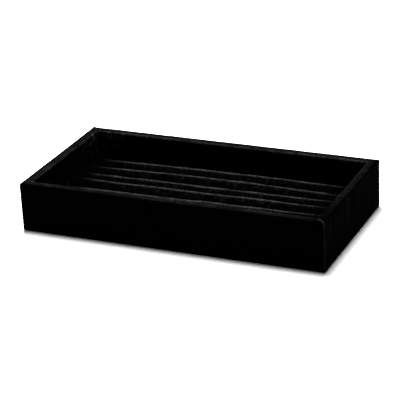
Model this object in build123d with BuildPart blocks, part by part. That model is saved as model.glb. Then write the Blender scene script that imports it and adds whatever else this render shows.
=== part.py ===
from build123d import *
import os

# Ring display tray: a shallow open box of nailed boards, dressed in black velvet, with a
# loose insert of foam rolls that lifts straight out. Goods stand in the slits between rolls.
# Millimetres. X runs along the front, Y to the back, Z up; the origin is the bottom centre.

# Outside size, over the velvet
tray_width = 350.0
tray_depth = 180.0
tray_height = 55.0

# Sheet and board thicknesses
velvet_thickness = 0.8
board_thickness = 9.0
base_thickness = 3.0
bottom_lining_thickness = 0.5
floor_liner_thickness = 0.6
insert_card_thickness = 2.0

# How the velvet wraps the frame
board_edge_radius = 0.7
hem_depth = 12.0
lining_inset = 3.0
liner_clearance = 0.1

# Brads through the long boards into the ends of the side boards
brad_radius = 0.7
brad_length = 24.0
brad_head_radius = 1.3
brad_head_height = 0.7
brad_point_length = 2.0
brads_per_corner = 2
brad_edge_margin = 13.0

# Pins up through the base panel into the boards
pin_radius = 0.6
pin_length = 13.0
pin_head_radius = 1.4
pin_head_height = 0.6
pin_point_length = 1.6
long_side_pins = 5
short_side_pins = 2
pin_corner_margin = 14.0
side_pin_margin = 38.0
nail_bite = 0.04

# Lift-out insert
insert_clearance = 2.0
card_corner_radius = 2.0
card_ledge = 4.8
roll_count = 7
roll_height = 22.1
slit_width = 0.4
roll_end_setback = 1.0
roll_end_radius = 4.5

# Levels, from the table up
frame_bottom = bottom_lining_thickness + velvet_thickness
base_top = frame_bottom + base_thickness
board_top = tray_height - velvet_thickness
insert_bottom = base_top + floor_liner_thickness
roll_bottom = insert_bottom + insert_card_thickness

# Plan sizes
frame_width = tray_width - 2 * velvet_thickness
frame_depth = tray_depth - 2 * velvet_thickness
wall_thickness = board_thickness + 2 * velvet_thickness
well_width = tray_width - 2 * wall_thickness
well_depth = tray_depth - 2 * wall_thickness
long_board_y = (frame_depth - board_thickness) / 2
side_board_x = (frame_width - board_thickness) / 2
side_board_length = frame_depth - 2 * board_thickness
card_width = well_width - 2 * insert_clearance
card_depth = well_depth - 2 * insert_clearance
roll_length = card_width - 2 * roll_end_setback
roll_pitch = (card_depth - 2 * card_ledge + slit_width) / roll_count
roll_width = roll_pitch - slit_width

os.makedirs("parts", exist_ok=True)


def nail(shank_radius, length, head_radius, head_height, point_length):
    """A nail along -Z, the top of its head at the origin."""
    with BuildPart() as body:
        with BuildSketch(Plane.XZ):
            with BuildLine():
                Polyline(
                    (0, 0),
                    (head_radius, 0),
                    (head_radius, -head_height),
                    (shank_radius, -head_height),
                    (shank_radius, point_length - length),
                    (0, -length),
                    close=True,
                )
            make_face()
        revolve(axis=Axis.Z)
    return body.part


# Nails and the holes that they press into: each hole is the same nail, slimmer by the bite
brad = nail(brad_radius, brad_length, brad_head_radius, brad_head_height, brad_point_length)
brad_hole = nail(
    brad_radius - nail_bite, brad_length, brad_head_radius, brad_head_height, brad_point_length
)
pin = nail(pin_radius, pin_length, pin_head_radius, pin_head_height, pin_point_length)
pin_hole = nail(pin_radius - nail_bite, pin_length, pin_head_radius, pin_head_height, pin_point_length)

# Where the brads enter: two upright planes on the outer faces of the long boards
brad_level = (base_top + board_top) / 2
brad_spread = (board_top - base_top - 2 * brad_edge_margin) / (brads_per_corner - 1)
front_face = Plane(origin=(0, -frame_depth / 2, brad_level), x_dir=(1, 0, 0), z_dir=(0, -1, 0))
back_face = Plane(origin=(0, frame_depth / 2, brad_level), x_dir=(-1, 0, 0), z_dir=(0, 1, 0))

# Where the pins enter: the underside of the base panel
base_underside = Plane(origin=(0, 0, frame_bottom), x_dir=(1, 0, 0), z_dir=(0, 0, -1))
long_pin_pitch = (frame_width - 2 * pin_corner_margin) / (long_side_pins - 1)
short_pin_pitch = (frame_depth - 2 * side_pin_margin) / (short_side_pins - 1)

with BuildPart() as corner_brads:
    with Locations(front_face, back_face):
        with GridLocations(2 * side_board_x, brad_spread, 2, brads_per_corner):
            add(brad)

with BuildPart() as brad_holes:
    with Locations(front_face, back_face):
        with GridLocations(2 * side_board_x, brad_spread, 2, brads_per_corner):
            add(brad_hole)

with BuildPart() as base_pins:
    with Locations(base_underside):
        with GridLocations(long_pin_pitch, 2 * long_board_y, long_side_pins, 2):
            add(pin)
        with GridLocations(2 * side_board_x, short_pin_pitch, 2, short_side_pins):
            add(pin)

with BuildPart() as pin_holes:
    with Locations(base_underside):
        with GridLocations(long_pin_pitch, 2 * long_board_y, long_side_pins, 2):
            add(pin_hole)
        with GridLocations(2 * side_board_x, short_pin_pitch, 2, short_side_pins):
            add(pin_hole)

corner_brads.part.label = "corner_brads"
export_step(corner_brads.part, "parts/corner_brads.step")
base_pins.part.label = "base_pins"
export_step(base_pins.part, "parts/base_pins.step")

# Frame of the box: a base panel with four boards standing on it, butted at the corners
with BuildPart() as base_panel:
    with BuildSketch(Plane.XY.offset(frame_bottom)):
        Rectangle(frame_width, frame_depth)
    extrude(amount=base_thickness)
    add(pin_holes.part, mode=Mode.SUBTRACT)
base_panel.part.label = "base_panel"
export_step(base_panel.part, "parts/base_panel.step")

for board_name, side in (("front_board", -1), ("back_board", 1)):
    with BuildPart() as long_board:
        with BuildSketch(Plane.XY.offset(base_top)):
            with Locations((0, side * long_board_y)):
                Rectangle(frame_width, board_thickness)
        extrude(amount=board_top - base_top)
        fillet(long_board.faces().sort_by(Axis.Z)[-1].edges(), radius=board_edge_radius)
        add(brad_holes.part, mode=Mode.SUBTRACT)
        add(pin_holes.part, mode=Mode.SUBTRACT)
    long_board.part.label = board_name
    export_step(long_board.part, f"parts/{board_name}.step")

for board_name, side in (("left_board", -1), ("right_board", 1)):
    with BuildPart() as side_board:
        with BuildSketch(Plane.XY.offset(base_top)):
            with Locations((side * side_board_x, 0)):
                Rectangle(board_thickness, side_board_length)
        extrude(amount=board_top - base_top)
        top_face = side_board.faces().sort_by(Axis.Z)[-1]
        fillet(top_face.edges().filter_by(Axis.Y), radius=board_edge_radius)
        add(brad_holes.part, mode=Mode.SUBTRACT)
        add(pin_holes.part, mode=Mode.SUBTRACT)
    side_board.part.label = board_name
    export_step(side_board.part, f"parts/{board_name}.step")

# Velvet covers, one to a wall: hem under the base, outer face, rim, inner face down to the base.
# On each wall's plane, local X runs inward from the velvet face and local Y runs up.
front_wall = Plane(origin=(0, -tray_depth / 2, 0), x_dir=(0, 1, 0), z_dir=(1, 0, 0))
back_wall = Plane(origin=(0, tray_depth / 2, 0), x_dir=(0, -1, 0), z_dir=(-1, 0, 0))
left_wall = Plane(origin=(-tray_width / 2, 0, 0), x_dir=(1, 0, 0), z_dir=(0, -1, 0))
right_wall = Plane(origin=(tray_width / 2, 0, 0), x_dir=(-1, 0, 0), z_dir=(0, 1, 0))
velvet_covers = (
    ("front_velvet", front_wall, tray_width / 2),
    ("back_velvet", back_wall, tray_width / 2),
    ("left_velvet", left_wall, tray_depth / 2),
    ("right_velvet", right_wall, tray_depth / 2),
)

for cover_name, wall, half_run in velvet_covers:
    with BuildPart() as velvet_cover:
        with BuildSketch(wall) as wrap:
            with BuildLine():
                Polyline(
                    (0, bottom_lining_thickness),
                    (0, tray_height),
                    (wall_thickness, tray_height),
                    (wall_thickness, base_top),
                    (wall_thickness - velvet_thickness, base_top),
                    (wall_thickness - velvet_thickness, board_top),
                    (velvet_thickness, board_top),
                    (velvet_thickness, frame_bottom),
                    (hem_depth, frame_bottom),
                    (hem_depth, bottom_lining_thickness),
                    close=True,
                )
            make_face()
            fillet(wrap.vertices().group_by(Axis.Y)[-2], radius=board_edge_radius)
            fillet(wrap.vertices().group_by(Axis.Y)[-1], radius=board_edge_radius + velvet_thickness)
            hem_corners = wrap.vertices().group_by(Axis.Y)[0]
            fillet(hem_corners.sort_by(Axis.X)[0], radius=velvet_thickness)
        extrude(amount=half_run, both=True)
        # Mitres: each end is cut on the 45 degree plane through the tray's corner
        for end in (1, -1):
            corner = wall.origin + wall.z_dir * (end * half_run)
            mitre = Plane(origin=corner, z_dir=wall.x_dir + wall.z_dir * end)
            split(bisect_by=mitre, keep=Keep.BOTTOM)
    velvet_cover.part.label = cover_name
    export_step(velvet_cover.part, f"parts/{cover_name}.step")

# Paper lining glued under the hems: the tray stands on it
with BuildPart() as bottom_lining:
    with BuildSketch():
        Rectangle(tray_width - 2 * lining_inset, tray_depth - 2 * lining_inset)
    extrude(amount=bottom_lining_thickness)
bottom_lining.part.label = "bottom_lining"
export_step(bottom_lining.part, "parts/bottom_lining.step")

# Paper liner on the floor of the well
with BuildPart() as floor_liner:
    with BuildSketch(Plane.XY.offset(base_top)):
        Rectangle(well_width - 2 * liner_clearance, well_depth - 2 * liner_clearance)
    extrude(amount=floor_liner_thickness)
floor_liner.part.label = "floor_liner"
export_step(floor_liner.part, "parts/floor_liner.step")

# Card that carries the rolls of the lift-out insert
with BuildPart() as insert_card:
    with BuildSketch(Plane.XY.offset(insert_bottom)):
        RectangleRounded(card_width, card_depth, card_corner_radius)
    extrude(amount=insert_card_thickness)
insert_card.part.label = "insert_card"
export_step(insert_card.part, "parts/insert_card.step")


def roll(row_y, skin):
    """One roll, or its foam where skin is the velvet's thickness: a loaf with drawn-in ends."""
    radius = roll_width / 2 - skin
    crest = roll_height - skin
    length = roll_length - 2 * skin
    end_plane = Plane(origin=(-length / 2, row_y, roll_bottom), x_dir=(0, 1, 0), z_dir=(1, 0, 0))
    with BuildPart() as loaf:
        with BuildSketch(end_plane):
            with BuildLine():
                Line((radius, crest - radius), (radius, 0))
                Line((radius, 0), (-radius, 0))
                Line((-radius, 0), (-radius, crest - radius))
                ThreePointArc((-radius, crest - radius), (0, crest), (radius, crest - radius))
            make_face()
        extrude(amount=length)
        end_faces = loaf.faces().filter_by(Axis.X)
        end_edges = [edge for face in end_faces for edge in face.edges().sort_by(Axis.Z)[1:]]
        fillet(end_edges, radius=roll_end_radius - skin)
    return loaf.part


# Rolls, numbered from the front: a foam core and its velvet wrap, glued to the card
with GridLocations(0, roll_pitch, 1, roll_count) as rows:
    row_ys = [spot.position.Y for spot in rows.local_locations]

for number, row_y in enumerate(row_ys, start=1):
    foam_name = f"roll_foam_{number}"
    velvet_name = f"roll_velvet_{number}"
    with BuildPart() as roll_foam:
        add(roll(row_y, velvet_thickness))
    roll_foam.part.label = foam_name
    export_step(roll_foam.part, f"parts/{foam_name}.step")

    with BuildPart() as roll_velvet:
        add(roll(row_y, 0))
        add(roll_foam.part, mode=Mode.SUBTRACT)
    roll_velvet.part.label = velvet_name
    export_step(roll_velvet.part, f"parts/{velvet_name}.step")
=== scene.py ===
# %% [markdown]
# A shallow display tray in black velvet, with a loose insert of seven padded rolls.
# On the real object every part that shows is cloth: velvet glued round nailed boards, and velvet
# wrapped over strips of foam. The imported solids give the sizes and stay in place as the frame; this
# file lays the cloth on them, gives each inner part its own finish, and lights it all plainly.

# %% Load the frame
import math

import bmesh
import bpy
from mathutils import Matrix, Vector


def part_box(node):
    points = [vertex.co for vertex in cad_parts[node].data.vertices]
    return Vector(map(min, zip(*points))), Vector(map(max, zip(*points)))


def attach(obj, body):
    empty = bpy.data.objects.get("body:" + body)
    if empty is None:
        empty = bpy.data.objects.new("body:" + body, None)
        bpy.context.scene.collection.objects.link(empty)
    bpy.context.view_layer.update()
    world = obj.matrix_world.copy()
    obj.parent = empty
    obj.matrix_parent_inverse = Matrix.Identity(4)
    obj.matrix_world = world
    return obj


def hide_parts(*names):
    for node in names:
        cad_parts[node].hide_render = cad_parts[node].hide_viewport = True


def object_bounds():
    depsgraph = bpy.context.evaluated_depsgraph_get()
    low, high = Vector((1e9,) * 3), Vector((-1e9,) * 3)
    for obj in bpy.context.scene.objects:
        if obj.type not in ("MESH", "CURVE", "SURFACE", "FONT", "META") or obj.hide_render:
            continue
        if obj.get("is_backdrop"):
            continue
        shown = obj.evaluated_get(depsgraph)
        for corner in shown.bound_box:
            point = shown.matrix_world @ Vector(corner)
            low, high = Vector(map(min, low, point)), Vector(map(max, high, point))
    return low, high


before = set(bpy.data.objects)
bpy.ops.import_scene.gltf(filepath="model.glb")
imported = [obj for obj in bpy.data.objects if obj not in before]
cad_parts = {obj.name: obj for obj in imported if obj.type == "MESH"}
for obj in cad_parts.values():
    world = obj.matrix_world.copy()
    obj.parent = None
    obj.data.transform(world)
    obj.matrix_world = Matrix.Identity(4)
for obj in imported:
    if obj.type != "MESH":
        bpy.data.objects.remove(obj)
cad_low, cad_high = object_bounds()
MM = 0.001
print("CAD box in mm:", [round(v / MM, 1) for v in (*cad_low, *cad_high)])

# %% [markdown]
# Everything below is measured from the frame, so the cloth fits whatever size the boards are.
# The velvet's thickness is the step from a board's outer face to the velvet's, and a wall is one
# board with velvet on both sides.

# %% Sizes read from the frame
cover_low, cover_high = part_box("front_velvet")
board_low, board_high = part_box("front_board")
_, base_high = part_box("base_panel")
roll_low, roll_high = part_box("roll_velvet_1")

VELVET = board_low.y - cover_low.y
WALL = board_high.y - board_low.y + 2 * VELVET
RIM = cover_high.z
HEM_LEVEL = cover_low.z
FLOOR_LEVEL = base_high.z
HEM_DEPTH = cover_high.y - cover_low.y
ROLL_COUNT = sum(name.startswith("roll_velvet_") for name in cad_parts)
ROLL_LENGTH = roll_high.x - roll_low.x
ROLL_WIDTH = roll_high.y - roll_low.y
ROLL_HEIGHT = roll_high.z - roll_low.z
print(f"velvet {VELVET / MM:.1f} mm thick, wall {WALL / MM:.1f} mm, hem {HEM_DEPTH / MM:.1f} mm deep")
print(f"{ROLL_COUNT} rolls, each {ROLL_WIDTH / MM:.1f} mm wide and {ROLL_HEIGHT / MM:.1f} mm high")

# %% [markdown]
# Two helpers serve every node tree. Colours are written as sRGB hex, as a paint chart gives them,
# and turned to the linear values that the renderer works in. Nodes are added by one function that
# takes the settings and, for each socket, a value or the node or socket that feeds it.


# %% Helpers for colours and nodes
def linear(hex_colour):
    """sRGB hex to linear RGBA."""
    channels = [int(hex_colour[i : i + 2], 16) / 255 for i in (1, 3, 5)]
    return [c / 12.92 if c <= 0.04045 else ((c + 0.055) / 1.055) ** 2.4 for c in channels] + [1.0]


def add_node(tree, kind, inputs=None, **settings):
    """Adds one node. In inputs, a node or a socket is linked and anything else is set."""
    node = tree.nodes.new(kind)
    for name, value in settings.items():
        setattr(node, name, value)
    for key, value in (inputs or {}).items():
        if isinstance(value, bpy.types.Node):
            value = value.outputs[0]
        if isinstance(value, bpy.types.NodeSocket):
            tree.links.new(value, node.inputs[key])
        else:
            node.inputs[key].default_value = value
    return node


def new_material(name):
    """An empty material and its tree."""
    material = bpy.data.materials.new(name)
    material.use_nodes = True
    material.node_tree.nodes.clear()
    return material, material.node_tree


MATH, VECTOR_MATH, MIX = "ShaderNodeMath", "ShaderNodeVectorMath", "ShaderNodeMix"
NOISE, RANGE = "ShaderNodeTexNoise", "ShaderNodeMapRange"
SOFT = {"interpolation_type": "SMOOTHSTEP"}
print("mid grey in linear light:", [round(c, 3) for c in linear("#808080")[:3]])

# %% [markdown]
# Cotton velvet, dyed black. Its cut pile stands like a brush: seen end on it swallows nearly all
# light, and seen from the side the fibres' flanks catch it, so edges glow softly. That is the work
# of the shader's sheen, which is narrow on the flat walls, and weaker and wider on the rolls.
# Where cloth is bent or handled the pile lies over and looks greyer, in patches, and at a folded
# seam the grey backing shows. The lighter pile is also a painted highlight: on the rolls' crests and
# the walls' rims and outer faces it stands in for the sheen and the overhead light. The pieces carry
# two attributes, one for the lighter pile and one for the seam. The real pile's grain is about half a
# millimetre, too fine to show here, so it is drawn three times as coarse.

# %% Velvet
PILE_GRAIN, PILE_RELIEF = 1.6 * MM, 0.4 * MM
NAP_PATCH = 15 * MM
UPRIGHT_PILE, BARE_BACKING = "#020202", "#565656"
# How strongly the lighter pile, worn pile and painted sheen alike, shows between its patches, and in
# the dark and the light of its grain
FAINT_PATCH, GRAIN_DARK, GRAIN_LIGHT = 0.4, 0.1, 1.4


def velvet(name, brushed, sheen, spread):
    """Black velvet: the colour of its lighter pile, worn pile and painted sheen, and the strength and
    spread of its sheen.
    """
    material, tree = new_material(name)
    place = add_node(tree, "ShaderNodeTexCoord").outputs["Object"]
    fine = {"Vector": place, "Scale": 1 / PILE_GRAIN, "Detail": 2.0, "Roughness": 0.6}
    grain = add_node(tree, NOISE, fine)
    patch = add_node(tree, NOISE, {"Vector": place, "Scale": 1 / NAP_PATCH, "Detail": 3.0})
    patchy = {"Value": patch, "From Min": 0.35, "From Max": 0.65, "To Min": FAINT_PATCH}
    patches = add_node(tree, RANGE, patchy)
    speckled = {"Value": grain, "From Min": 0.38, "From Max": 0.62}
    speckled.update({"To Min": GRAIN_DARK, "To Max": GRAIN_LIGHT})
    speckle = add_node(tree, RANGE, speckled)
    lighter_pile = add_node(tree, "ShaderNodeAttribute", attribute_name="brushed").outputs["Fac"]
    lighter_in_patches = add_node(tree, MATH, {0: lighter_pile, 1: patches}, operation="MULTIPLY")
    amount = add_node(tree, MATH, {0: lighter_in_patches, 1: speckle}, operation="MULTIPLY", use_clamp=True)
    pile = {0: amount, 6: linear(UPRIGHT_PILE), 7: linear(brushed)}
    pile_colour = add_node(tree, MIX, pile, data_type="RGBA").outputs[2]
    fold = add_node(tree, "ShaderNodeAttribute", attribute_name="seam").outputs["Fac"]
    bare = add_node(tree, MATH, {0: fold, 1: speckle}, operation="MULTIPLY", use_clamp=True)
    cloth = {0: bare, 6: pile_colour, 7: linear(BARE_BACKING)}
    colour = add_node(tree, MIX, cloth, data_type="RGBA").outputs[2]
    relief = {"Height": grain, "Strength": 0.7, "Distance": PILE_RELIEF}
    bump = add_node(tree, "ShaderNodeBump", relief)
    surface = add_node(
        tree,
        "ShaderNodeBsdfPrincipled",
        {
            "Base Color": colour,
            "Roughness": 0.95,
            "Specular IOR Level": 0.0,
            "Sheen Weight": sheen,
            "Sheen Roughness": spread,
            "Sheen Tint": linear("#FFFFFF"),
            "Normal": bump,
        },
    )
    add_node(tree, "ShaderNodeOutputMaterial", {"Surface": surface})
    return material


wall_velvet = velvet("black cotton velvet on the walls", "#606060", 0.18, 0.19)
roll_velvet = velvet("black cotton velvet on the rolls", "#555555", 0.1, 0.25)
print("velvets:", wall_velvet.name, "and", roll_velvet.name)

# %% [markdown]
# The inner parts show only where the tray is opened up. Fibreboard is pressed wood dust, tan with
# short darker fibres, and dull. The nails are bright drawn wire, with faint marks from the die, and
# the one thing here that mirrors. The rolls' foam is open-celled, so it looks like a fine charcoal
# sponge. The card and the papers are dyed black, with a faint flock that takes the shine off. Each
# is one two-tone pattern at the size of its own grain, as colour and as relief.


# %% Finishes of the inner parts
def mottled(
    name, dark, light, spot, roughness, relief, stretch=(1.0, 1.0, 1.0), metallic=0.0, cells=False
):
    """A two-tone finish: noise of spot size, or cells for foam, gives the colour and the relief."""
    material, tree = new_material(name)
    place = add_node(tree, "ShaderNodeTexCoord").outputs["Object"]
    turned = add_node(tree, "ShaderNodeMapping", {"Vector": place, "Scale": stretch})
    kind = "ShaderNodeTexVoronoi" if cells else NOISE
    pattern = add_node(tree, kind, {"Vector": turned, "Scale": 1 / spot, "Detail": 4.0})
    tone = add_node(tree, RANGE, {"Value": pattern, "From Min": 0.3, "From Max": 0.7})
    colour = add_node(tree, MIX, {0: tone, 6: linear(dark), 7: linear(light)}, data_type="RGBA")
    bump = add_node(tree, "ShaderNodeBump", {"Height": pattern, "Strength": 0.6, "Distance": relief})
    surface = add_node(
        tree,
        "ShaderNodeBsdfPrincipled",
        {"Base Color": colour.outputs[2], "Roughness": roughness, "Metallic": metallic, "Normal": bump},
    )
    add_node(tree, "ShaderNodeOutputMaterial", {"Surface": surface})
    return material


fibreboard = mottled("medium density fibreboard", "#8A6A48", "#B8956C", 1.4 * MM, 0.85, 0.05 * MM)
# The die's marks are ten times as long as they are wide
DRAWN = {"stretch": (1.0, 1.0, 0.1), "metallic": 1.0}
wire = mottled("bright drawn steel wire", "#9A9A9C", "#C8C8CA", 0.5 * MM, 0.35, 0.01 * MM, **DRAWN)
foam = mottled("charcoal open-cell foam", "#1E1E20", "#3A3A3D", 0.9 * MM, 0.95, 0.25 * MM, cells=True)
card = mottled("black flocked card", "#060606", "#101010", 0.8 * MM, 0.95, 0.05 * MM)
paper = mottled("black flocked paper", "#070707", "#141414", 0.6 * MM, 0.9, 0.04 * MM)

finish_of = {"corner_brads": wire, "base_pins": wire, "insert_card": card}
finish_of.update({f"{side}_board": fibreboard for side in ("front", "back", "left", "right")})
finish_of.update({"base_panel": fibreboard, "bottom_lining": paper, "floor_liner": paper})
for node_name, finish in finish_of.items():
    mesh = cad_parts[node_name].data
    mesh.materials.clear()
    mesh.materials.append(finish)
print("finished", len(finish_of), "inner nodes")

# %% [markdown]
# Both kinds of cloth start as what they were on the bench: a flat rectangle. A grid stands for the
# cut piece, and a node tree carries each of its points to the place where it lies when the cloth is
# wrapped. Two rounded lines guide it, one each way. Modelling by hand would also do, but a rule
# gives seven rolls and four walls that share one construction and still differ in small ways.


# %% Helpers for the cloth trees
def new_tree(name, sizes):
    """A geometry tree with these named float inputs, a material input and a geometry output."""
    tree = bpy.data.node_groups.new(name, "GeometryNodeTree")
    for label in sizes:
        tree.interface.new_socket(label, in_out="INPUT", socket_type="NodeSocketFloat")
    tree.interface.new_socket("Material", in_out="INPUT", socket_type="NodeSocketMaterial")
    tree.interface.new_socket("Geometry", in_out="OUTPUT", socket_type="NodeSocketGeometry")
    return tree, add_node(tree, "NodeGroupInput").outputs


def flat_piece(tree, columns, rows):
    """The cut cloth as a grid one unit square, and where each of its points lies on it."""
    cut = {"Size X": 1.0, "Size Y": 1.0, "Vertices X": columns, "Vertices Y": rows}
    grid = add_node(tree, "GeometryNodeMeshGrid", cut)
    spot = add_node(tree, "ShaderNodeSeparateXYZ", {0: add_node(tree, "GeometryNodeInputPosition")})
    return grid.outputs[0], spot.outputs[0], spot.outputs[1]


def end_tree(tree, cloth, marks, position, material, weld):
    """Stores the marks, lays the cloth in position, welds its poles and sets its material."""
    for label, value in marks.items():
        cloth = add_node(
            tree,
            "GeometryNodeStoreNamedAttribute",
            {"Geometry": cloth, "Name": label, "Value": value},
            data_type="FLOAT",
            domain="POINT",
        )
    laid = add_node(tree, "GeometryNodeSetPosition", {"Geometry": cloth, "Position": position})
    welded = add_node(tree, "GeometryNodeMergeByDistance", {"Geometry": laid, "Distance": weld})
    smooth = add_node(tree, "GeometryNodeSetShadeSmooth", {"Geometry": welded})
    real = add_node(tree, "GeometryNodeRealizeInstances", {"Geometry": smooth})
    dressed = add_node(tree, "GeometryNodeSetMaterial", {"Geometry": real, "Material": material})
    add_node(tree, "NodeGroupOutput", {"Geometry": dressed})
    print(tree.name, "tree:", len(tree.nodes), "nodes")


print("a cloth tree starts with new_tree and flat_piece, and closes with end_tree")


# %% Helpers for the grown pieces
def grow(name, tree, values, place):
    """Runs the tree with these values and returns the result as a plain mesh object at the origin."""
    seedling = bpy.data.objects.new(name + " seedling", bpy.data.meshes.new(name))
    bpy.context.scene.collection.objects.link(seedling)
    modifier = seedling.modifiers.new("cloth", "NODES")
    modifier.node_group = tree
    for item in tree.interface.items_tree:
        if item.in_out == "INPUT":
            modifier[item.identifier] = values[item.name]
    ready = seedling.evaluated_get(bpy.context.evaluated_depsgraph_get())
    mesh = bpy.data.meshes.new_from_object(ready)
    bpy.data.objects.remove(seedling)
    mesh.name = name
    mesh.transform(place)
    piece = bpy.data.objects.new(name, mesh)
    bpy.context.scene.collection.objects.link(piece)
    return piece


def thicken(piece, thickness):
    """Gives the cloth its thickness, inwards from the face that shows."""
    skin = piece.modifiers.new("thickness", "SOLIDIFY")
    skin.thickness = thickness
    skin.offset = -1.0
    skin.use_even_offset = False


print("a piece is grown from its tree, and then thickened")

# %% [markdown]
# The roll. Its cloth is guided by the crest line, which rises up one end, runs along the top and
# goes down the other end, and by the section line, which goes up one side, over the crown and down.
# Each is a square-cornered line with its corners rounded, so it fits a roll of any size. A point
# takes its place along the tray from the first line and its place across from the second.

# %% The two guide lines of a roll
ROLL_SIZES = (
    "Length",
    "Width",
    "Height",
    "End radius",
    "Waviness",
    "Gather depth",
    "Seed",
    "Lift left",
    "Lift middle",
    "Lift right",
)
ALONG, ROUND = 150, 38
BEND_POINTS = 24

roll_tree, given = new_tree("padded roll", ROLL_SIZES)
flat, spot_x, spot_y = flat_piece(roll_tree, ALONG, ROUND)
half_width = add_node(roll_tree, MATH, {0: given["Width"], 1: 0.5}, operation="MULTIPLY")
half_length = add_node(roll_tree, MATH, {0: given["Length"], 1: 0.5}, operation="MULTIPLY")
lengthways = (spot_x, half_length, given["End radius"])
crossways = (spot_y, half_width, half_width)
guides = []
for spot, right, radius in (lengthways, crossways):
    share = add_node(roll_tree, MATH, {0: spot, 1: 0.5}, operation="ADD")
    left = add_node(roll_tree, MATH, {0: right, 1: -1.0}, operation="MULTIPLY")
    stations = ((left, 0.0), (left, given["Height"]), (right, given["Height"]), (right, 0.0))
    corners = {
        f"Point {number}": add_node(roll_tree, "ShaderNodeCombineXYZ", {"X": side, "Y": level})
        for number, (side, level) in enumerate(stations, start=1)
    }
    loop = add_node(roll_tree, "GeometryNodeCurvePrimitiveQuadrilateral", corners, mode="POINTS")
    line = add_node(roll_tree, "GeometryNodeSetSplineCyclic", {"Geometry": loop, "Cyclic": False})
    bent = {"Curve": line, "Count": BEND_POINTS, "Radius": radius, "Limit Radius": True}
    soft = add_node(roll_tree, "GeometryNodeFilletCurve", bent, mode="POLY")
    sampled = {"Curves": soft, "Factor": share}
    guide = add_node(roll_tree, "GeometryNodeSampleCurve", sampled, mode="FACTOR")
    guides.append(add_node(roll_tree, "ShaderNodeSeparateXYZ", {0: guide.outputs["Position"]}).outputs)
(run, crest), (side, level) = (guides[0][:2], guides[1][:2])
print("a roll's cloth is a grid of", ALONG, "by", ROUND, "points")

# %% [markdown]
# A roll of foam wrapped by hand is never ruler straight. Slow noise lets it drift up and sideways,
# most at the crest and not at all at its foot. Some strips are also cut or packed a little high or
# low, so each crest has its own lifts.

# %% The roll's slow waves and its crest's own line
# The wave up and down and the wave sideways: each has a length and a place of its own in the noise
WAVES = ((55 * MM, 0.0), (70 * MM, 3.7))

fullness = add_node(roll_tree, MATH, {0: crest, 1: given["Height"]}, operation="DIVIDE")
raised = add_node(roll_tree, MATH, {0: level, 1: given["Height"]}, operation="DIVIDE")
rise = add_node(roll_tree, MATH, {0: raised, 1: fullness}, operation="MULTIPLY")
trail = add_node(roll_tree, "ShaderNodeCombineXYZ", {"X": run, "Y": given["Seed"], "Z": side})
drift = []
for wave_length, shift in WAVES:
    moved = add_node(roll_tree, VECTOR_MATH, {0: trail, 1: (0.0, shift, 0.0)}, operation="ADD")
    noise = add_node(roll_tree, NOISE, {"Vector": moved, "Scale": 1 / wave_length, "Detail": 1.5})
    centred = add_node(roll_tree, MATH, {0: noise, 1: 0.5}, operation="SUBTRACT")
    drift.append(add_node(roll_tree, MATH, {0: centred, 1: given["Waviness"]}, operation="MULTIPLY"))
drift_up, drift_aside = drift
# A parabola through the lifts at the left end, the middle and the right end
station = add_node(roll_tree, MATH, {0: spot_x, 1: 2.0}, operation="MULTIPLY")
end_lifts = {0: given["Lift right"], 1: given["Lift left"]}
both_ends = add_node(roll_tree, MATH, end_lifts, operation="ADD")
end_gain = add_node(roll_tree, MATH, end_lifts, operation="SUBTRACT")
slope = add_node(roll_tree, MATH, {0: end_gain, 1: 0.5}, operation="MULTIPLY")
bow = add_node(roll_tree, MATH, {0: both_ends, 1: 0.5}, operation="MULTIPLY")
bow = add_node(roll_tree, MATH, {0: bow, 1: given["Lift middle"]}, operation="SUBTRACT")
lift = add_node(roll_tree, MATH, {0: bow, 1: station, 2: slope}, operation="MULTIPLY_ADD")
from_lift = {0: lift, 1: station, 2: given["Lift middle"]}
lift = add_node(roll_tree, MATH, from_lift, operation="MULTIPLY_ADD")
lift = add_node(roll_tree, MATH, {0: drift_up, 1: lift}, operation="ADD")
print("a roll's waves are", " and ".join(f"{length / MM:.0f}" for length, _ in WAVES), "mm long")

# %% [markdown]
# Both sides shrink with the crest line's height, so the cloth closes over the ends. There it has to
# go somewhere, and on the real roll it is gathered: a ripple round the arch makes the folds.

# %% The gathered ends, and every point's place
GATHERS = 9
# The gathers are at their deepest up to this share of the roll's height
DEEP_GATHERS = 0.2

turn = add_node(roll_tree, MATH, {0: spot_y, 1: math.tau * GATHERS}, operation="MULTIPLY")
ripple = add_node(roll_tree, MATH, {0: turn}, operation="COSINE")
ending = {"Value": fullness, "From Min": DEEP_GATHERS, "From Max": 1.0, "To Min": 1.0, "To Max": 0.0}
ending = add_node(roll_tree, RANGE, ending)
gather = add_node(roll_tree, MATH, {0: ripple, 1: ending}, operation="MULTIPLY")
depth = add_node(roll_tree, MATH, {0: gather, 1: given["Gather depth"]}, operation="MULTIPLY")
outward = add_node(roll_tree, MATH, {0: run}, operation="SIGN")
x = add_node(roll_tree, MATH, {0: depth, 1: outward, 2: run}, operation="MULTIPLY_ADD")
y = add_node(roll_tree, MATH, {0: side, 1: fullness}, operation="MULTIPLY")
y = add_node(roll_tree, MATH, {0: drift_aside, 1: rise, 2: y}, operation="MULTIPLY_ADD")
z = add_node(roll_tree, MATH, {0: level, 1: fullness}, operation="MULTIPLY")
z = add_node(roll_tree, MATH, {0: lift, 1: rise, 2: z}, operation="MULTIPLY_ADD")
wrapped = add_node(roll_tree, "ShaderNodeCombineXYZ", {"X": x, "Y": y, "Z": z})
print("each end has", GATHERS, "gathers")

# %% [markdown]
# A painted highlight runs along each crest: a lighter band in the pile's colour that stands in for the
# velvet's sheen where the crest is seen edge on. It lies a little behind the top, on the crest's edge
# as seen from the front. The shoulders only have flecks, partly flecked pile and partly painted sheen,
# and the ends stay dark, a painted shade for the walls' shade over them.

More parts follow.
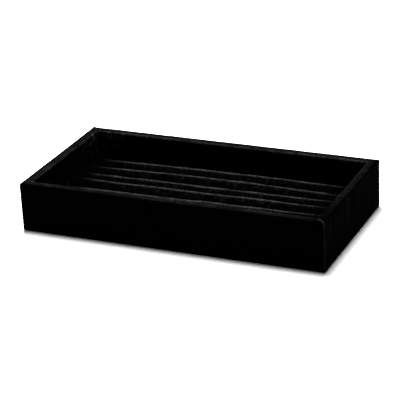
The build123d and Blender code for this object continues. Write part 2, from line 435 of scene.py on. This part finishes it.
# %% Painted crest highlight on a roll
BAND_BEHIND, BAND_HALF_WIDTH = 2.6 * MM, 2.2 * MM
FLECK, FLECK_WEAR_AND_SHEEN = 3.5 * MM, 0.13
# The first stretch from an end is dark, a painted shade, and the highlight is full from the second one
# on
SHADED_END, SHADE_CLEARED = 6 * MM, 60 * MM
ROLL_WELD = 0.02 * MM

# The band is a painted highlight, set behind the top where the crest shows its edge
aside = add_node(roll_tree, MATH, {0: side, 1: BAND_BEHIND}, operation="SUBTRACT")
from_band = add_node(roll_tree, MATH, {0: aside}, operation="ABSOLUTE")
band = {"Value": from_band, "From Min": 2 * BAND_HALF_WIDTH, "From Max": BAND_HALF_WIDTH}
crest_highlight = add_node(roll_tree, RANGE, band, **SOFT)
shoulder = {"Value": rise, "From Min": 0.5, "From Max": 0.95, "To Max": FLECK_WEAR_AND_SHEEN}
shoulder = add_node(roll_tree, RANGE, shoulder)
fleck = add_node(roll_tree, NOISE, {"Vector": trail, "Scale": 1 / FLECK, "Detail": 2.0})
fleck = add_node(roll_tree, RANGE, {"Value": fleck, "From Min": 0.45, "From Max": 0.7}, **SOFT)
shoulder = add_node(roll_tree, MATH, {0: shoulder, 1: fleck}, operation="MULTIPLY")
crest_highlight = add_node(roll_tree, MATH, {0: crest_highlight, 1: shoulder}, operation="MAXIMUM")
# Painted shade: the highlight fades out towards the ends, where the end walls shade the rolls
from_middle = add_node(roll_tree, MATH, {0: run}, operation="ABSOLUTE")
to_end = add_node(roll_tree, MATH, {0: half_length, 1: from_middle}, operation="SUBTRACT")
clear_of_end_shade = {"Value": to_end, "From Min": SHADED_END, "From Max": SHADE_CLEARED}
clear_of_end_shade = add_node(roll_tree, RANGE, clear_of_end_shade, **SOFT)
crest_highlight = add_node(roll_tree, MATH, {0: crest_highlight, 1: clear_of_end_shade}, operation="MULTIPLY")
end_tree(roll_tree, flat, {"brushed": crest_highlight}, wrapped, given["Material"], ROLL_WELD)

# %% [markdown]
# Velvet drawn over soft foam is never quite smooth: it pulls in small slanting creases. A short cloth
# simulation gives these. The cloth is glued along its lower edges, a light pressure from inside
# stands for the foam, and the cloth may grow a little, so it has some slack to crease with. No
# point may move further than the cap, which keeps each roll clear of its neighbours, and for that
# the cloth starts a little narrower than the roll. A subdivision then smooths the coarse grid.

# %% Creases by cloth simulation
SIM_FRAMES, SIM_QUALITY = 12, 4
CREASE_CAP = 0.45 * MM
GLUED_BAND = 2 * MM
CLOTH_MASS, BENDING = 0.1, 0.05
FOAM_PRESSURE, SLACK = 3.0, 0.03
NO_STEP = 1e-9


def crease(cloth):
    """Lets the cloth settle under a light pressure and keeps the result in its mesh."""
    mesh = cloth.data
    before = [vertex.co.copy() for vertex in mesh.vertices]
    foot = min(point.z for point in before)
    glued = cloth.vertex_groups.new(name="glued")
    glued.add([i for i, point in enumerate(before) if point.z < foot + GLUED_BAND], 1.0, "REPLACE")
    modifier = cloth.modifiers.new("creases", "CLOTH")
    modifier.point_cache.frame_start, modifier.point_cache.frame_end = 1, SIM_FRAMES
    modifier.collision_settings.use_collision = False
    settings = modifier.settings
    settings.quality = SIM_QUALITY
    settings.mass = CLOTH_MASS
    settings.bending_stiffness = BENDING
    settings.use_pressure = True
    settings.uniform_pressure_force = FOAM_PRESSURE
    settings.shrink_min = -SLACK
    settings.vertex_group_mass = glued.name
    settings.effector_weights.gravity = 0.0
    for number in range(1, SIM_FRAMES + 1):
        bpy.context.scene.frame_set(number)
    settled = cloth.evaluated_get(bpy.context.evaluated_depsgraph_get()).data
    after = [vertex.co.copy() for vertex in settled.vertices]
    cloth.modifiers.remove(modifier)
    cloth.vertex_groups.remove(glued)
    bpy.context.scene.frame_set(1)
    for vertex, old, new in zip(mesh.vertices, before, after):
        step = new - old
        vertex.co = old + step * min(1.0, CREASE_CAP / max(step.length, NO_STEP))
    return max((new - old).length for old, new in zip(before, after))


print("creases: at most", CREASE_CAP / MM, "mm deep")

# %% [markdown]
# Inside the cloth lies the foam, cut flat underneath, where it's glued to the card. It grows from
# the same tree as its wrap, which leaves it open there, so one more face closes it.


# %% A core's flat underside
def close_underside(core):
    """Fills the open edge along the foot of a grown core with one flat face."""
    shape = bmesh.new()
    shape.from_mesh(core.data)
    foot = [edge for edge in shape.edges if edge.is_boundary]
    bmesh.ops.holes_fill(shape, edges=foot, sides=0)
    shape.to_mesh(core.data)
    shape.free()


print("each core gets a flat underside")

# %% [markdown]
# Each roll is grown twice with the same seed: once as the velvet and once, a little smaller, as the
# foam core inside it. So the core follows the waves of its wrap and stays under it.

# %% Grow the rolls
# Lifts of each crest at its left end, middle and right end, in mm, from the front roll to the back
CREST_LIFTS = (
    (-0.8, 0.4, 1.6),
    (-1.0, 0.6, 2.2),
    (-1.6, 0.4, 3.6),
    (0.4, 1.4, 3.6),
    (-1.7, -0.7, 1.9),
    (-3.6, 1.0, -1.7),
    (-2.6, 0.8, 0.5),
)
END_RADIUS = 4.5 * MM
WAVINESS, GATHER_DEPTH = 1.0 * MM, 0.45 * MM
ROLL_SEED_STEP = 0.31
INSET = VELVET + CREASE_CAP
# The cloth is a little thinner than the velvet's space, so it stays clear of the core
ROLL_CLOTH = VELVET * 0.9

for number in range(1, ROLL_COUNT + 1):
    low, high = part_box(f"roll_velvet_{number}")
    place = Matrix.Translation((0.0, (low.y + high.y) / 2, low.z))
    values = {
        "Length": ROLL_LENGTH,
        "Width": ROLL_WIDTH - 2 * CREASE_CAP,
        "Height": ROLL_HEIGHT,
        "End radius": END_RADIUS,
        "Waviness": WAVINESS,
        "Gather depth": GATHER_DEPTH,
        "Seed": ROLL_SEED_STEP * number,
        "Material": roll_velvet,
    }
    for where, lift in zip(("left", "middle", "right"), CREST_LIFTS[number - 1]):
        values[f"Lift {where}"] = lift * MM
    cloth = grow(f"roll_wrap_{number}", roll_tree, values, place)
    moved = crease(cloth)
    smoother = cloth.modifiers.new("smoother", "SUBSURF")
    smoother.levels = smoother.render_levels = 1
    thicken(cloth, ROLL_CLOTH)
    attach(cloth, "insert")
    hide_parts(f"roll_velvet_{number}")
    values.update({"Length": values["Length"] - 2 * INSET, "Width": values["Width"] - 2 * INSET})
    values.update({"Height": ROLL_HEIGHT - INSET, "End radius": END_RADIUS - INSET})
    values.update({"Gather depth": 0.0, "Material": foam})
    core = grow(f"foam_core_{number}", roll_tree, values, place)
    close_underside(core)
    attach(core, "insert")
    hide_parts(f"roll_foam_{number}")
    print(cloth.name, "and its core; free cloth would move", round(moved / MM, 1), "mm")

# %% [markdown]
# The wall covers. A strip of velvet starts as a hem under the base, turns up the outer face, over
# the rim and down inside to the floor. It follows one line with rounded corners, so that is drawn
# first, as a curve that the tree can sample. Along the rim the pile isn't pressed down by the glue,
# so it stands up a little.


# %% The line that a wall cover follows
def rounded_line(corners, radii, step):
    """Points along a line with rounded corners, at most step apart."""
    points = []
    here = Vector(corners[0])
    for index, radius in enumerate(radii, start=1):
        corner, after = Vector(corners[index]), Vector(corners[index + 1])
        into, away = (corner - here).normalized(), (after - corner).normalized()
        start = corner - into * radius
        centre = start + away * radius
        count = max(1, round((start - here).length / step))
        points += [here.lerp(start, i / count) for i in range(count)]
        bends = max(3, round(math.pi / 2 * radius / step) * 2)
        for i in range(bends):
            turn = math.pi / 2 * i / bends
            points.append(centre - away * radius * math.cos(turn) + into * radius * math.sin(turn))
        here = corner + away * radius
    last = Vector(corners[-1])
    count = max(1, round((last - here).length / step))
    return points + [here.lerp(last, i / count) for i in range(count + 1)]


EDGE_RADIUS = 1.5 * MM
PILE_RISE = 0.6 * MM
WRAP_STEP = 0.7 * MM
TOP = RIM + PILE_RISE
wrap_corners = (
    (HEM_DEPTH, HEM_LEVEL),
    (0.0, HEM_LEVEL),
    (0.0, TOP),
    (WALL, TOP),
    (WALL, FLOOR_LEVEL),
)
wrap_points = rounded_line(wrap_corners, (VELVET, EDGE_RADIUS, EDGE_RADIUS), WRAP_STEP)
wrap_length = sum((b - a).length for a, b in zip(wrap_points, wrap_points[1:]))
wrap_curve = bpy.data.curves.new("wrap line", "CURVE")
wrap_curve.dimensions = "3D"
spline = wrap_curve.splines.new("POLY")
spline.points.add(len(wrap_points) - 1)
for point, at in zip(spline.points, wrap_points):
    point.co = (at.x, at.y, 0.0, 1.0)
wrap_line = bpy.data.objects.new("wrap line", wrap_curve)
bpy.context.scene.collection.objects.link(wrap_line)
print(f"the strip is {wrap_length / MM:.1f} mm wide before it is wrapped")

# %% [markdown]
# The strip's corners are mitred: at each end it is shortened by as much as its point lies inwards.
# All that happens at a corner is measured from the mitre, so the tree works out that distance for
# every point, and has a second set of values for the corner at the other end.

# %% The wall cover's guides
WALL_SIZES = ("Half run", "Seam radius", "Unevenness", "Seed", "Rim wear and highlight", "Edge wear and highlight", "Streak sheen")
AT_CORNERS = ("Ear", "Opening", "Folds", "Wear and highlight", "Rise")
COLUMNS, ROWS = 170, 190

corner_sizes = tuple(f"{label} {side}" for label in AT_CORNERS for side in ("left", "right"))
wall_tree, given = new_tree("wall cover", WALL_SIZES + corner_sizes)
flat, spot_x, spot_y = flat_piece(wall_tree, COLUMNS, ROWS)
# Columns crowd towards the mitres, where the folds are
swing = add_node(wall_tree, MATH, {0: spot_x, 1: math.pi}, operation="MULTIPLY")
along = add_node(wall_tree, MATH, {0: swing}, operation="SINE")
share = add_node(wall_tree, MATH, {0: spot_y, 1: 0.5}, operation="ADD")
line = {"Object": wrap_line}
source = add_node(wall_tree, "GeometryNodeObjectInfo", line, transform_space="RELATIVE")
followed = {"Curves": source.outputs["Geometry"], "Factor": share}
guide = add_node(wall_tree, "GeometryNodeSampleCurve", followed, mode="FACTOR").outputs
inward, upward = add_node(wall_tree, "ShaderNodeSeparateXYZ", {0: guide["Position"]}).outputs[:2]
forth, climb = add_node(wall_tree, "ShaderNodeSeparateXYZ", {0: guide["Tangent"]}).outputs[:2]
# The cloth's outward direction is its own direction round the wall, turned by a quarter
facing_in = add_node(wall_tree, MATH, {0: climb, 1: -1.0}, operation="MULTIPLY")
# Distance to the nearer mitre, measured along the wall
reach = add_node(wall_tree, MATH, {0: given["Half run"], 1: inward}, operation="SUBTRACT")
aside = add_node(wall_tree, MATH, {0: along}, operation="ABSOLUTE")
left_over = add_node(wall_tree, MATH, {0: 1.0, 1: aside}, operation="SUBTRACT")
to_mitre = add_node(wall_tree, MATH, {0: reach, 1: left_over}, operation="MULTIPLY")
site = add_node(wall_tree, MATH, {0: along, 1: given["Half run"]}, operation="MULTIPLY")
# Each corner has its own values: those on the left or those on the right of the wall
which = add_node(wall_tree, MATH, {0: along, 1: 0.0}, operation="GREATER_THAN")
at_corner = {}
for label in AT_CORNERS:
    pair = {0: which, 2: given[f"{label} left"], 3: given[f"{label} right"]}
    at_corner[label] = add_node(wall_tree, MIX, pair, data_type="FLOAT").outputs[0]
print("a cover's cloth is a grid of", COLUMNS, "by", ROWS, "points")

# %% [markdown]
# Close to the mitre the cloth turns in, so two covers meet in a fine groove with a soft roll on each
# side. Away from it the cloth lies flat, as far as glue brushed on by hand allows: a slow, shallow
# noise makes it uneven.

# %% Turned-in seams, and the unevenness of glued cloth
UNEVEN_PATCH = 22 * MM
# The unevenness fades out over this stretch beside a mitre
EVEN_BESIDE = 6 * MM

near = {0: to_mitre, 1: given["Seam radius"]}
near = add_node(wall_tree, MATH, near, operation="DIVIDE", use_clamp=True)
gap = add_node(wall_tree, MATH, {0: 1.0, 1: near}, operation="SUBTRACT")
square = add_node(wall_tree, MATH, {0: gap, 1: 2.0}, operation="POWER")
under = add_node(wall_tree, MATH, {0: 1.0, 1: square}, operation="SUBTRACT")
arc = add_node(wall_tree, MATH, {0: under}, operation="SQRT")
sink = add_node(wall_tree, MATH, {0: arc, 1: 1.0}, operation="SUBTRACT")
sunk = add_node(wall_tree, MATH, {0: sink, 1: given["Seam radius"]}, operation="MULTIPLY")
around = {0: share, 1: wrap_length, 2: given["Seed"]}
around = add_node(wall_tree, MATH, around, operation="MULTIPLY_ADD")
patch = add_node(wall_tree, "ShaderNodeCombineXYZ", {"X": site, "Y": around})
noise = add_node(wall_tree, NOISE, {"Vector": patch, "Scale": 1 / UNEVEN_PATCH, "Detail": 2.0})
centred = add_node(wall_tree, MATH, {0: noise, 1: 0.5}, operation="SUBTRACT")
free = add_node(wall_tree, RANGE, {"Value": to_mitre, "From Max": EVEN_BESIDE})
uneven = add_node(wall_tree, MATH, {0: centred, 1: free}, operation="MULTIPLY")
offset = {0: uneven, 1: given["Unevenness"], 2: sunk}
offset = add_node(wall_tree, MATH, offset, operation="MULTIPLY_ADD")
print(f"glued cloth is uneven in patches of {UNEVEN_PATCH / MM:.0f} mm")

# %% [markdown]
# Where a corner was pulled tight, upright folds run down the inner face. A sine of the distance
# from the mitre makes them, bent by the same slow noise so that no two are alike. They die away from
# the mitre and from the rim, and keep clear of the seam itself.

# %% Pull folds
FOLD_SPACING, FOLD_WANDER = 10 * MM, 9 * MM
# From the mitre, the folds end at the first distance and are full from the second
FOLDS_END, FOLDS_FULL = 45 * MM, 12 * MM
# Down the inner face, they end at the first height and are full at the second
FOLDS_LOW, FOLDS_HIGH = TOP - 34 * MM, TOP - 4 * MM
# Beside the seam, there are none up to the first distance, and it holds them back up to the second
SEAM_KEPT, SEAM_CLEAR = 2 * MM, 8 * MM

inside = add_node(wall_tree, RANGE, {"Value": inward, "From Min": WALL * 0.8, "From Max": WALL})
fades = (
    {"Value": to_mitre, "From Min": FOLDS_END, "From Max": FOLDS_FULL},
    {"Value": upward, "From Min": FOLDS_LOW, "From Max": FOLDS_HIGH},
    {"Value": to_mitre, "From Min": SEAM_KEPT, "From Max": SEAM_CLEAR},
)
pulled = inside
for fade in fades:
    faded = {0: pulled, 1: add_node(wall_tree, RANGE, fade, **SOFT)}
    pulled = add_node(wall_tree, MATH, faded, operation="MULTIPLY")
bend = {0: centred, 1: FOLD_WANDER, 2: to_mitre}
bend = add_node(wall_tree, MATH, bend, operation="MULTIPLY_ADD")
phase = add_node(wall_tree, MATH, {0: bend, 1: math.tau / FOLD_SPACING}, operation="MULTIPLY")
wave = add_node(wall_tree, MATH, {0: phase}, operation="SINE")
folds = add_node(wall_tree, MATH, {0: wave, 1: pulled}, operation="MULTIPLY")
offset = {0: folds, 1: at_corner["Folds"], 2: offset}
offset = add_node(wall_tree, MATH, offset, operation="MULTIPLY_ADD")
print(f"pull folds are {FOLD_SPACING / MM:.0f} mm apart")

# %% [markdown]
# At the rim's corners a pinch of cloth stands up. The rim isn't quite level either: where more cloth
# was drawn over it, it stands higher, from a corner almost to the middle of the wall. With these in,
# each point has its height and its distance inwards, and the mitre gives its place along the wall.

# %% Pinched corners, the fuller rim, and every point's place
PINCH = 4 * MM
# A fuller rim stands high from its corner up to this share of the way to the middle
FULL_SHARE = 0.6
RISE_DEPTH = 8 * MM

rim_corner = {0: guide["Position"], 1: (0.0, TOP, 0.0)}
to_corner = add_node(wall_tree, VECTOR_MATH, rim_corner, operation="DISTANCE").outputs["Value"]
close = [
    add_node(wall_tree, RANGE, {"Value": distance, "From Min": PINCH, "From Max": 0.0}, **SOFT)
    for distance in (to_corner, to_mitre)
]
pinch = add_node(wall_tree, MATH, {0: close[0], 1: close[1]}, operation="MULTIPLY")
towards = {"Value": left_over, "From Min": 1.0, "From Max": FULL_SHARE}
towards = add_node(wall_tree, RANGE, towards, **SOFT)
near_top = {"Value": upward, "From Min": TOP - RISE_DEPTH, "From Max": TOP}
near_top = add_node(wall_tree, RANGE, near_top)
fuller = add_node(wall_tree, MATH, {0: towards, 1: near_top}, operation="MULTIPLY")
inner = add_node(wall_tree, MATH, {0: facing_in, 1: offset, 2: inward}, operation="MULTIPLY_ADD")
upper = add_node(wall_tree, MATH, {0: forth, 1: offset, 2: upward}, operation="MULTIPLY_ADD")
for amount, label in ((pinch, "Ear"), (fuller, "Rise")):
    raising = {0: amount, 1: at_corner[label], 2: upper}
    upper = add_node(wall_tree, MATH, raising, operation="MULTIPLY_ADD")
reach = add_node(wall_tree, MATH, {0: given["Half run"], 1: inner}, operation="SUBTRACT")
mitred = add_node(wall_tree, MATH, {0: along, 1: reach}, operation="MULTIPLY")
wrapped = add_node(wall_tree, "ShaderNodeCombineXYZ", {"X": mitred, "Y": inner, "Z": upper})
print(f"corners are pinched within {PINCH / MM:.0f} mm of the mitre")

# %% [markdown]
# Along the rim the pile is lighter, most on its inner edge and hardly at all on its outer quarter.
# Partly it is worn by hands, and partly a painted highlight: the overhead light on the rim's top and
# the sheen along its inner edge, strongest on the front wall.

# %% Wear and painted highlight on the rim and on its inner edge
# Across the rim, the pile is dark up to the first place and lighter from the second: wear and painted
# highlight
RIM_DARK, RIM_LIT_AND_WORN = WALL * 0.1, WALL * 0.45
# A corner's own wear and painted highlight end at the first distance from the mitre and are full from
# the second
CORNER_END, CORNER_FULL = 70 * MM, 5 * MM
CORNER_ON_RIM = 0.1
# The lighter band reaches over the inner edge, as wear and as painted highlight, so a distance down the
# inner face counts for only this share
INNER_EDGE, REACH_IN = (WALL, TOP, 0.0), 0.55
EDGE_END, EDGE_FULL = 1.9 * MM, 0.8 * MM

top = {"Value": upward, "From Min": TOP - EDGE_RADIUS, "From Max": TOP}
across = {"Value": inward, "From Min": RIM_DARK, "From Max": RIM_LIT_AND_WORN}
rim = {0: add_node(wall_tree, RANGE, top), 1: add_node(wall_tree, RANGE, across, **SOFT)}
rim = add_node(wall_tree, MATH, rim, operation="MULTIPLY")
cornered = {"Value": to_mitre, "From Min": CORNER_END, "From Max": CORNER_FULL}
cornered = add_node(wall_tree, RANGE, cornered, **SOFT)
cornered = add_node(wall_tree, MATH, {0: cornered, 1: at_corner["Wear and highlight"]}, operation="MULTIPLY")
rim_wear_and_highlight = {0: cornered, 1: CORNER_ON_RIM, 2: given["Rim wear and highlight"]}
rim_wear_and_highlight = add_node(wall_tree, MATH, rim_wear_and_highlight, operation="MULTIPLY_ADD")
rim = add_node(wall_tree, MATH, {0: rim, 1: rim_wear_and_highlight}, operation="MULTIPLY")
from_edge = {0: guide["Position"], 1: INNER_EDGE}
from_edge = add_node(wall_tree, VECTOR_MATH, from_edge, operation="SUBTRACT")
shortened = {0: from_edge, 1: (1.0, REACH_IN, 1.0)}
from_edge = add_node(wall_tree, VECTOR_MATH, shortened, operation="MULTIPLY")
from_edge = add_node(wall_tree, VECTOR_MATH, {0: from_edge}, operation="LENGTH").outputs["Value"]
edge = {"Value": from_edge, "From Min": EDGE_END, "From Max": EDGE_FULL}
edge = add_node(wall_tree, RANGE, edge, **SOFT)
edge_wear_and_highlight = add_node(wall_tree, MATH, {0: given["Edge wear and highlight"], 1: cornered}, operation="ADD")
edge = add_node(wall_tree, MATH, {0: edge, 1: edge_wear_and_highlight}, operation="MULTIPLY")
brushed = add_node(wall_tree, MATH, {0: rim, 1: edge}, operation="MAXIMUM")
# The rim is fully lighter from here: worn pile and painted highlight
print(f"the rim is fully worn from {RIM_LIT_AND_WORN / MM:.1f} mm inwards")

# %% [markdown]
# Upright lighter streaks on the outer faces are a painted sheen, like that of pile crushed by fingers:
# noise that is stretched along the way the cloth runs, fading out towards the foot. The pulled
# corners are scuffed, in blotches that lie where the folds are.

# %% Painted sheen streaks and scuffs
STREAK_WIDTH, STREAK_LENGTH = 8 * MM, 45 * MM
STREAKS_FROM, STREAKS_FULL = RIM * 0.2, RIM * 0.8
SCUFF = 9 * MM
# Wear for each metre of the folds' depth, which itself is a fraction of a millimetre
SCUFF_WEAR = 3 / MM

lane = add_node(wall_tree, MATH, {0: around, 1: STREAK_WIDTH / STREAK_LENGTH}, operation="MULTIPLY")
lane = add_node(wall_tree, "ShaderNodeCombineXYZ", {"X": site, "Y": lane, "Z": given["Seed"]})
streak = add_node(wall_tree, NOISE, {"Vector": lane, "Scale": 1 / STREAK_WIDTH, "Detail": 1.0})
streak = add_node(wall_tree, RANGE, {"Value": streak, "From Min": 0.52, "From Max": 0.72}, **SOFT)
upright = add_node(wall_tree, MATH, {0: climb}, operation="ABSOLUTE")
height = {"Value": upward, "From Min": STREAKS_FROM, "From Max": STREAKS_FULL}
height = add_node(wall_tree, RANGE, height, **SOFT)
# Painted sheen: upright streaks, fading out towards the foot
sheen_streaks = add_node(wall_tree, MATH, {0: streak, 1: upright}, operation="MULTIPLY")
sheen_streaks = add_node(wall_tree, MATH, {0: sheen_streaks, 1: height}, operation="MULTIPLY")
scuffed = add_node(wall_tree, NOISE, {"Vector": patch, "Scale": 1 / SCUFF, "Detail": 2.0})
scuffed = add_node(wall_tree, RANGE, {"Value": scuffed, "From Min": 0.45, "From Max": 0.65}, **SOFT)
scuffed = add_node(wall_tree, MATH, {0: scuffed, 1: pulled}, operation="MULTIPLY")
scuffed = add_node(wall_tree, MATH, {0: scuffed, 1: at_corner["Folds"]}, operation="MULTIPLY")
for mark, strength in ((sheen_streaks, given["Streak sheen"]), (scuffed, SCUFF_WEAR)):
    marked = {0: mark, 1: strength, 2: brushed}
    brushed = add_node(wall_tree, MATH, marked, operation="MULTIPLY_ADD")
print(f"streaks are {STREAK_WIDTH / MM:.0f} mm wide and scuffs {SCUFF / MM:.0f} mm")

# %% [markdown]
# Where the cloth is folded sharply its pile parts, and the grey backing shows. At a mitre that is a
# line about a millimetre wide, strongest where it crosses the rim, and none on the inner face.

# %% Bare seams
# From the mitre, the backing shows in full up to the second distance and ends at the first
SEAM_END, SEAM_BARE = 1.3 * MM, 0.5 * MM
# From this depth under the rim down, only this share of it shows
SEAM_DEPTH, FACE_SEAM = 5 * MM, 0.25
COVER_WELD = 0.005 * MM

fold_edge = {"Value": to_mitre, "From Min": SEAM_END, "From Max": SEAM_BARE}
near_rim = {"Value": upward, "From Min": TOP - SEAM_DEPTH, "From Max": TOP, "To Min": FACE_SEAM}
seam = {0: add_node(wall_tree, RANGE, fold_edge, **SOFT), 1: add_node(wall_tree, RANGE, near_rim)}
seam = add_node(wall_tree, MATH, seam, operation="MULTIPLY")
outside = add_node(wall_tree, MATH, {0: 1.0, 1: inside}, operation="SUBTRACT")
for share_seen in (outside, at_corner["Opening"]):
    seam = add_node(wall_tree, MATH, {0: seam, 1: share_seen}, operation="MULTIPLY")
marks = {"brushed": brushed, "seam": seam}
end_tree(wall_tree, flat, marks, wrapped, given["Material"], COVER_WELD)

# %% [markdown]
# Four covers from one tree. What differs is a small table of corners, some neater than others, and
# one of walls, each with its own wear, painted highlight and painted sheen.

# %% Grow the wall covers
# At each corner: how far the pinch stands up in mm, how open the seam is, how deep the folds are in
# mm, how much more or less lighter the rim is there, by wear and painted highlight, and how much
# higher the rim stands in mm
CORNERS = {
    "front_left": (0.0, 0.2, 0.05, 0.1, 0.0),
    "front_right": (0.1, 0.8, 0.05, -0.8, 0.8),
    "back_right": (0.3, 0.2, 0.05, 0.2, 0.0),
    "back_left": (1.0, 0.3, 0.3, 0.0, 0.0),
}
IN_MM = ("Ear", "Folds", "Rise")
# For each wall: its turn in degrees, half its run, its distance from the middle, its two corners,
# and how light its rim and its inner edge are, by wear and painted highlight, and how strong the
# painted sheen streaks on its outer face are
half_x, half_y = cad_high.x, cad_high.y
WALLS = {
    # The front's inner edge is lightest: mostly a painted highlight for its sheen
    "front": (0, half_x, half_y, "front_left", "front_right", 0.14, 1.4, 0.0),
    "right": (90, half_y, half_x, "front_right", "back_right", 0.1, 0.4, 0.06),
    "back": (180, half_x, half_y, "back_right", "back_left", 0.13, 0.5, 0.02),
    "left": (270, half_y, half_x, "back_left", "front_left", 0.14, 0.3, 0.03),
}
SEAM_RADIUS, UNEVENNESS = 0.9 * MM, 0.5 * MM
WALL_SEED_STEP = 0.7
WALL_CLOTH = VELVET * 0.95

for index, (wall, facts) in enumerate(WALLS.items()):
    turn, half_run, away, left_corner, right_corner, *lighter_pile = facts
    place = Matrix.Rotation(math.radians(turn), 4, "Z") @ Matrix.Translation((0.0, -away, 0.0))
    values = {
        "Half run": half_run,
        "Seam radius": SEAM_RADIUS,
        "Unevenness": UNEVENNESS,
        "Seed": WALL_SEED_STEP * index,
        "Material": wall_velvet,
    }
    values.update(zip(("Rim wear and highlight", "Edge wear and highlight", "Streak sheen"), lighter_pile))
    for side, corner in (("left", left_corner), ("right", right_corner)):
        for label, value in zip(AT_CORNERS, CORNERS[corner]):
            values[f"{label} {side}"] = value * MM if label in IN_MM else value
    cover = grow(f"{wall}_cover", wall_tree, values, place)
    thicken(cover, WALL_CLOTH)
    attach(cover, "tray")
    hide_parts(f"{wall}_velvet")
    print(cover.name, len(cover.data.polygons), "faces")
bpy.data.objects.remove(wrap_line)

# %% [markdown]
# The stage is a plain pale floor. Seen by the camera it is pure white with the tray's shadow on it.
# A dim white surround fills the dark sides.

# %% Floor and surround
FLOOR_REACH = 4.0
FLOOR_GAIN = 3.1
SURROUND = 0.08


def seen_only(tree):
    """A socket that is 1 for camera rays, and for rays that mirror or refract the view."""
    ray = add_node(tree, "ShaderNodeLightPath").outputs
    passed = {0: ray["Is Glossy Ray"], 1: ray["Is Transmission Ray"]}
    passed = add_node(tree, MATH, passed, operation="ADD")
    return add_node(tree, MATH, {0: passed, 1: ray["Is Camera Ray"]}, operation="ADD", use_clamp=True)


floor_mesh = bpy.data.meshes.new("floor")
square = [(-FLOOR_REACH, -FLOOR_REACH), (FLOOR_REACH, -FLOOR_REACH)]
square += [(FLOOR_REACH, FLOOR_REACH), (-FLOOR_REACH, FLOOR_REACH)]
floor_mesh.from_pydata([(x, y, 0.0) for x, y in square], [], [(0, 1, 2, 3)])
floor = bpy.data.objects.new("floor", floor_mesh)
bpy.context.scene.collection.objects.link(floor)
floor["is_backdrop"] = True

# The view of the floor is brighter than the light that it throws back, so open floor is pure white
# and the tray's shadow stays
paper_white, tree = new_material("white paper floor")
lit = add_node(tree, "ShaderNodeBsdfDiffuse", {"Color": linear("#F0F0F0")})
bright = add_node(tree, "ShaderNodeBsdfDiffuse", {"Color": (FLOOR_GAIN, FLOOR_GAIN, FLOOR_GAIN, 1.0)})
shown = add_node(tree, "ShaderNodeMixShader", {0: seen_only(tree), 1: lit, 2: bright})
add_node(tree, "ShaderNodeOutputMaterial", {"Surface": shown})
floor_mesh.materials.append(paper_white)

world = bpy.data.worlds.new("white surround")
bpy.context.scene.world = world
world.use_nodes = True
tree = world.node_tree
tree.nodes.clear()
surround = add_node(tree, "ShaderNodeBackground", {"Color": linear("#FFFFFF"), "Strength": SURROUND})
backdrop = add_node(tree, "ShaderNodeBackground", {"Color": linear("#FFFFFF"), "Strength": 1.0})
shown = add_node(tree, "ShaderNodeMixShader", {0: seen_only(tree), 1: surround, 2: backdrop})
add_node(tree, "ShaderNodeOutputWorld", {"Surface": shown})
print("floor and surround: white to the camera, surround light", SURROUND)

# %% [markdown]
# The main light is overhead and a little behind, so the top edges and crests catch it while the
# front stays in the dark. A second one, further back and to the left, softens the shadow.


# %% Lamps
def softbox(name, place, size, power):
    """A square area light that points at the middle of the floor."""
    data = bpy.data.lights.new(name, "AREA")
    data.size = size
    data.energy = power
    lamp = bpy.data.objects.new(name, data)
    lamp.location = place
    lamp.rotation_euler = (-Vector(place)).to_track_quat("-Z", "Y").to_euler()
    bpy.context.scene.collection.objects.link(lamp)
    print(name, power, "W at", place)


softbox("overhead softbox", (-0.05, 0.18, 1.5), 0.5, 14.0)
softbox("side softbox", (-0.5, 0.7, 1.5), 0.5, 12.0)

# %% [markdown]
# The camera looks down at the tray from the front right, with a long lens. Its direction, distance
# and slight lean come from fitting the tray's edges, and the lens follows from the image size.

# %% Camera
AZIMUTH, ELEVATION, LEAN = 24.523, 23.367, -2.850
DISTANCE = 1.8887
AIM_RIGHT, AIM_UP = -0.00268, 0.02001
FOCAL_IN_PIXELS, FRAME_PIXELS, SENSOR = 1716.1, 400, 36.0

turn, tilt, lean = (math.radians(v) for v in (AZIMUTH, ELEVATION, LEAN))
back = Vector((math.sin(turn) * math.cos(tilt), -math.cos(turn) * math.cos(tilt), math.sin(tilt)))
level_right = Vector((math.cos(turn), math.sin(turn), 0.0))
level_up = back.cross(level_right)
right = level_right * math.cos(lean) + level_up * math.sin(lean)
up = -level_right * math.sin(lean) + level_up * math.cos(lean)
camera_data = bpy.data.cameras.new("camera")
camera_data.sensor_width = SENSOR
camera_data.lens = FOCAL_IN_PIXELS / FRAME_PIXELS * SENSOR
camera = bpy.data.objects.new("camera", camera_data)
seat = back * DISTANCE + right * AIM_RIGHT + up * AIM_UP
camera.matrix_world = Matrix.Translation(seat) @ Matrix((right, up, back)).transposed().to_4x4()
bpy.context.scene.collection.objects.link(camera)
bpy.context.scene.camera = camera
bpy.context.scene.view_settings.view_transform = "Standard"
print("camera at", [round(v, 3) for v in seat], "lens", round(camera_data.lens, 1), "mm")

# %% [markdown]
# The last step prints the dressed model's box, to set beside the CAD box printed at the start, to
# see that the cloth hasn't outgrown the solids.

# %% Finish
low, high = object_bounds()
print("visual box in mm:", [round(v / MM, 2) for v in (*low, *high)])
